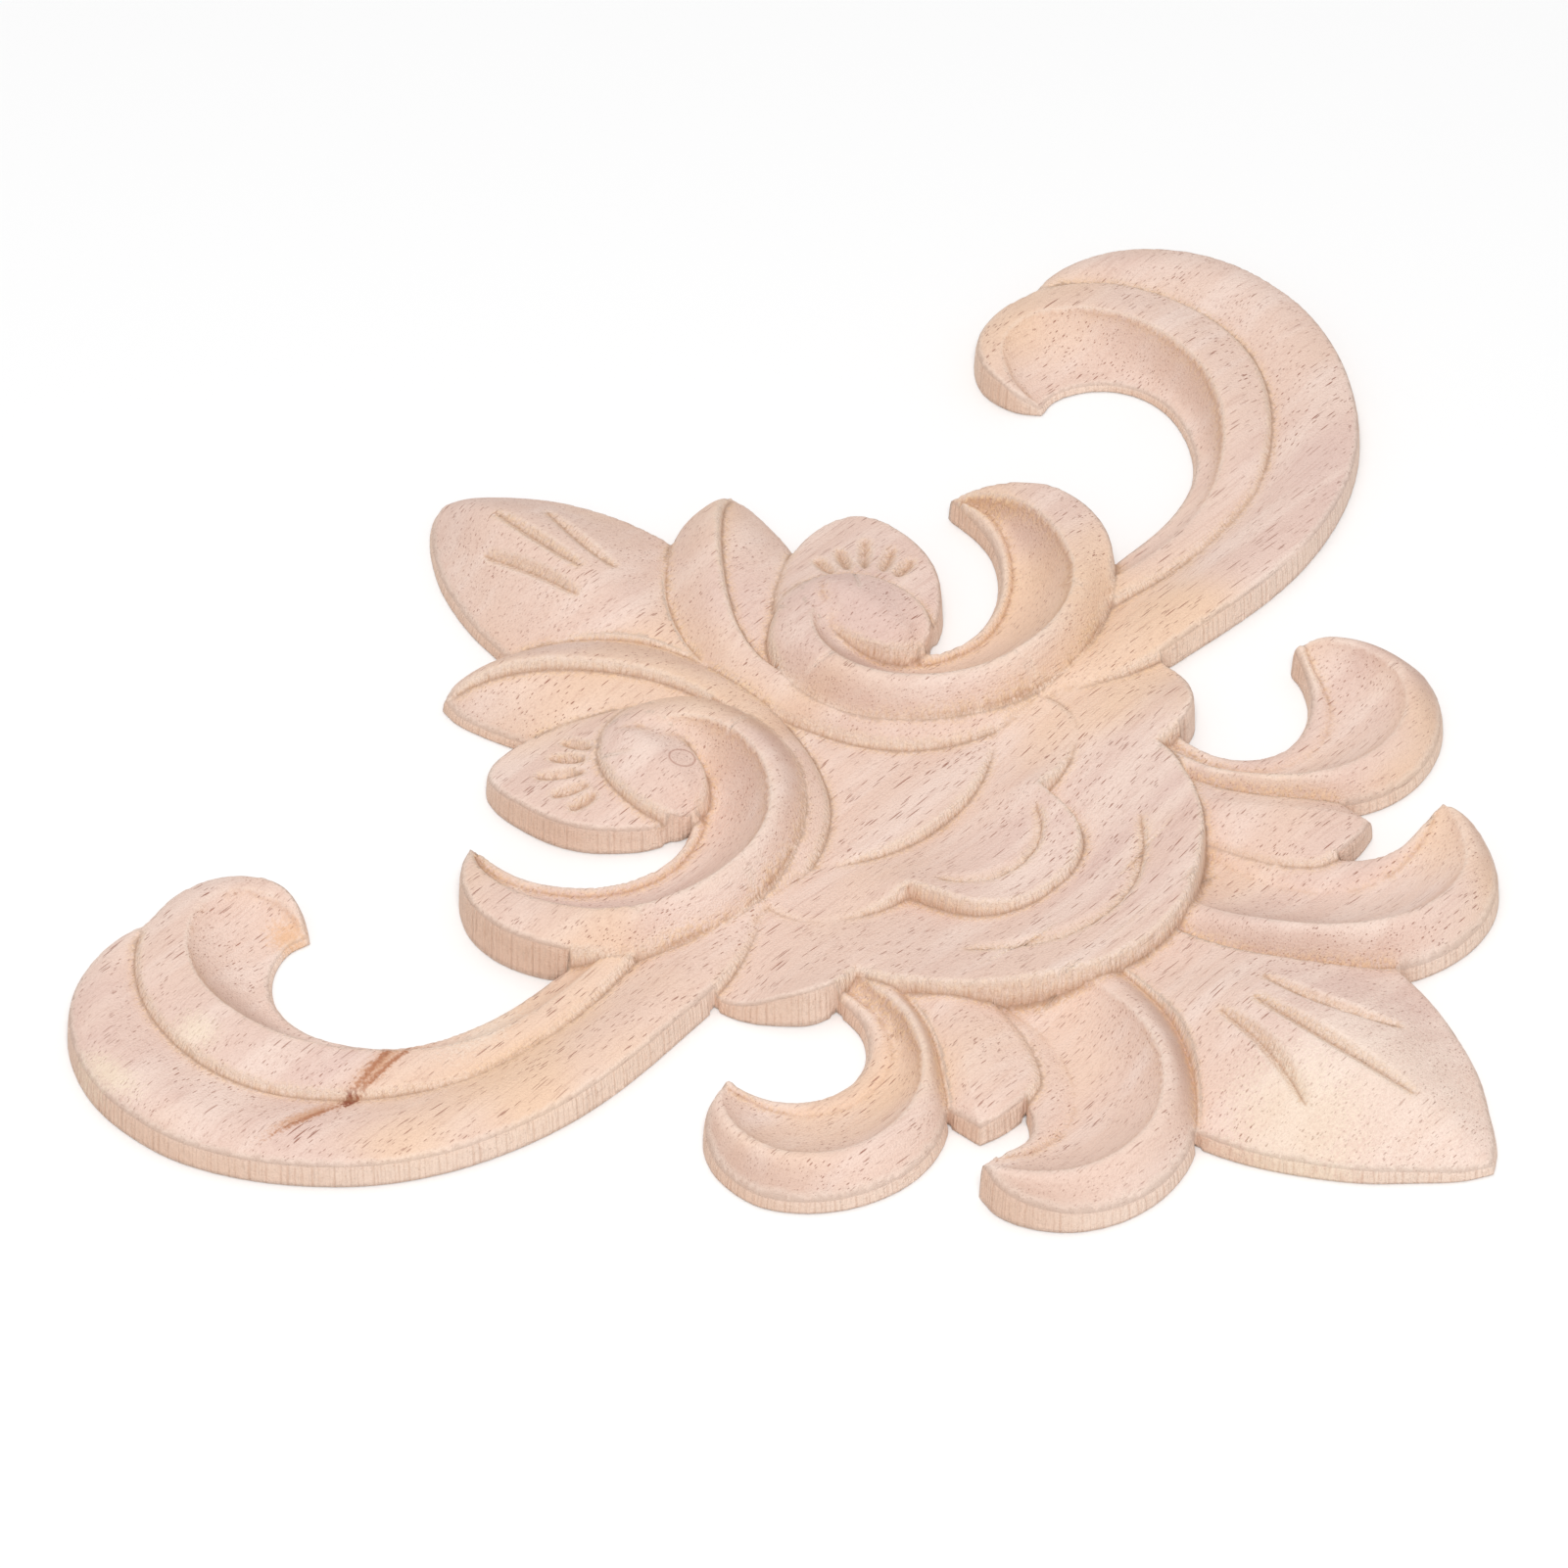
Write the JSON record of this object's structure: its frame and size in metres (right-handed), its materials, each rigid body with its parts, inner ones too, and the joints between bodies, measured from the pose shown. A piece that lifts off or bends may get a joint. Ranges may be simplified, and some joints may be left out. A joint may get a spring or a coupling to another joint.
{
  "type": "carved wood applique",
  "caption": "Flat-backed carved furniture applique in raw wood: a pointed leaf at top and bottom, a rounded shield in the middle and long scrolled wings with shell petals.",
  "frame": {"origin": "middle of the flat back, under the bounding box's centre", "axes": "+Z out of the carved face, +Y from the drop leaf to the crest leaf, +X to one wing"},
  "size_m": [0.2884, 0.24, 0.011],
  "materials": {
    "raw_wood": "raw and unsealed, machine carved, pale pinkish cream with fine brown pores along X"
  },
  "bodies": {
    "root": {"carved_applique": "raw_wood"}
  },
  "joints": []
}
